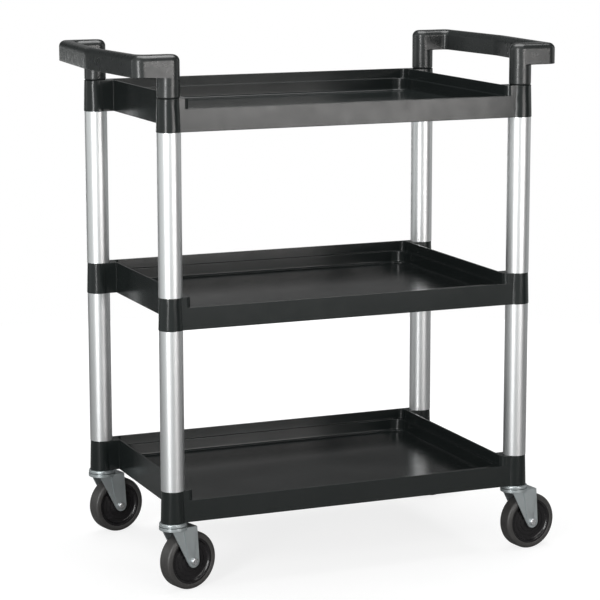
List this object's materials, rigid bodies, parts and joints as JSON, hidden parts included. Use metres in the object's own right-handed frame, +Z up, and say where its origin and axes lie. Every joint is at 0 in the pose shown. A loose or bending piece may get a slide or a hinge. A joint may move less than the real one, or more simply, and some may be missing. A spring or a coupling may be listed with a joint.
{
  "type": "food service trolley",
  "caption": "Three-tier food service trolley: black moulded trays with a low front rim on round aluminium posts, a bowed push handle at each end and swivel casters.",
  "frame": {"origin": "on the floor under the centre of the four posts, midway between the handles", "axes": "+Z up; +X along the trolley towards the right-hand handle; -Y towards the side with the low tray rims"},
  "size_m": [0.799, 0.445, 0.9],
  "materials": {
    "tray_plastic": "moulded polypropylene, satin gloss",
    "handle_plastic": "moulded polypropylene, fine satin",
    "post_aluminium": "satin anodised tube",
    "zinc_steel": "bright zinc-plated pressing",
    "fastener_steel": "zinc-plated",
    "bush_plastic": "natural nylon",
    "wheel_plastic": "moulded black plastic, glossy",
    "tyre_rubber": "dark grey thermoplastic rubber, satin"
  },
  "bodies": {
    "frame": {"shelf_bottom": "tray_plastic", "shelf_middle": "tray_plastic", "shelf_top": "tray_plastic", "handle_left": "handle_plastic", "handle_right": "handle_plastic", "tube_lower_fl": "post_aluminium", "tube_lower_fr": "post_aluminium", "tube_lower_bl": "post_aluminium", "tube_lower_br": "post_aluminium", "tube_upper_fl": "post_aluminium", "tube_upper_fr": "post_aluminium", "tube_upper_bl": "post_aluminium", "tube_upper_br": "post_aluminium", "handle_screw_fl": "fastener_steel", "handle_screw_fr": "fastener_steel", "handle_screw_bl": "fastener_steel", "handle_screw_br": "fastener_steel", "stem_socket_fl": "bush_plastic", "stem_socket_fr": "bush_plastic", "stem_socket_bl": "bush_plastic", "stem_socket_br": "bush_plastic", "swivel_head_fl": "zinc_steel", "swivel_head_fr": "zinc_steel", "swivel_head_bl": "zinc_steel", "swivel_head_br": "zinc_steel", "bearing_fl": "fastener_steel", "bearing_fr": "fastener_steel", "bearing_bl": "fastener_steel", "bearing_br": "fastener_steel"},
    "caster_fl": {"fork_fl": "zinc_steel", "axle_bolt_fl": "fastener_steel", "axle_nut_fl": "fastener_steel", "axle_bush_fl": "bush_plastic"},
    "wheel_fl": {"wheel_core_fl": "wheel_plastic", "tyre_fl": "tyre_rubber"},
    "caster_fr": {"fork_fr": "zinc_steel", "axle_bolt_fr": "fastener_steel", "axle_nut_fr": "fastener_steel", "axle_bush_fr": "bush_plastic"},
    "wheel_fr": {"wheel_core_fr": "wheel_plastic", "tyre_fr": "tyre_rubber"},
    "caster_bl": {"fork_bl": "zinc_steel", "axle_bolt_bl": "fastener_steel", "axle_nut_bl": "fastener_steel", "axle_bush_bl": "bush_plastic"},
    "wheel_bl": {"wheel_core_bl": "wheel_plastic", "tyre_bl": "tyre_rubber"},
    "caster_br": {"fork_br": "zinc_steel", "axle_bolt_br": "fastener_steel", "axle_nut_br": "fastener_steel", "axle_bush_br": "bush_plastic"},
    "wheel_br": {"wheel_core_br": "wheel_plastic", "tyre_br": "tyre_rubber"}
  },
  "joints": [
    {"name": "swivel_fl", "type": "hinge", "parent": "frame", "child": "caster_fl", "pos_m": [-0.321, -0.194, 0.109], "axis": [0, 0, 1], "continuous": true},
    {"name": "wheel_spin_fl", "type": "hinge", "parent": "caster_fl", "child": "wheel_fl", "pos_m": [-0.29312, -0.18601, 0.05], "axis": [-0.2756, 0.9613, 0], "continuous": true},
    {"name": "swivel_fr", "type": "hinge", "parent": "frame", "child": "caster_fr", "pos_m": [0.321, -0.194, 0.109], "axis": [0, 0, 1], "continuous": true},
    {"name": "wheel_spin_fr", "type": "hinge", "parent": "caster_fr", "child": "wheel_fr", "pos_m": [0.34978, -0.19047, 0.05], "axis": [-0.1219, 0.9925, 0], "continuous": true},
    {"name": "swivel_bl", "type": "hinge", "parent": "frame", "child": "caster_bl", "pos_m": [-0.321, 0.194, 0.109], "axis": [0, 0, 1], "continuous": true},
    {"name": "wheel_spin_bl", "type": "hinge", "parent": "caster_bl", "child": "wheel_bl", "pos_m": [-0.29274, 0.20052, 0.05], "axis": [-0.225, 0.9744, 0], "continuous": true},
    {"name": "swivel_br", "type": "hinge", "parent": "frame", "child": "caster_br", "pos_m": [0.321, 0.194, 0.109], "axis": [0, 0, 1], "continuous": true},
    {"name": "wheel_spin_br", "type": "hinge", "parent": "caster_br", "child": "wheel_br", "pos_m": [0.34956, 0.19904, 0.05], "axis": [-0.1736, 0.9848, 0], "continuous": true}
  ]
}
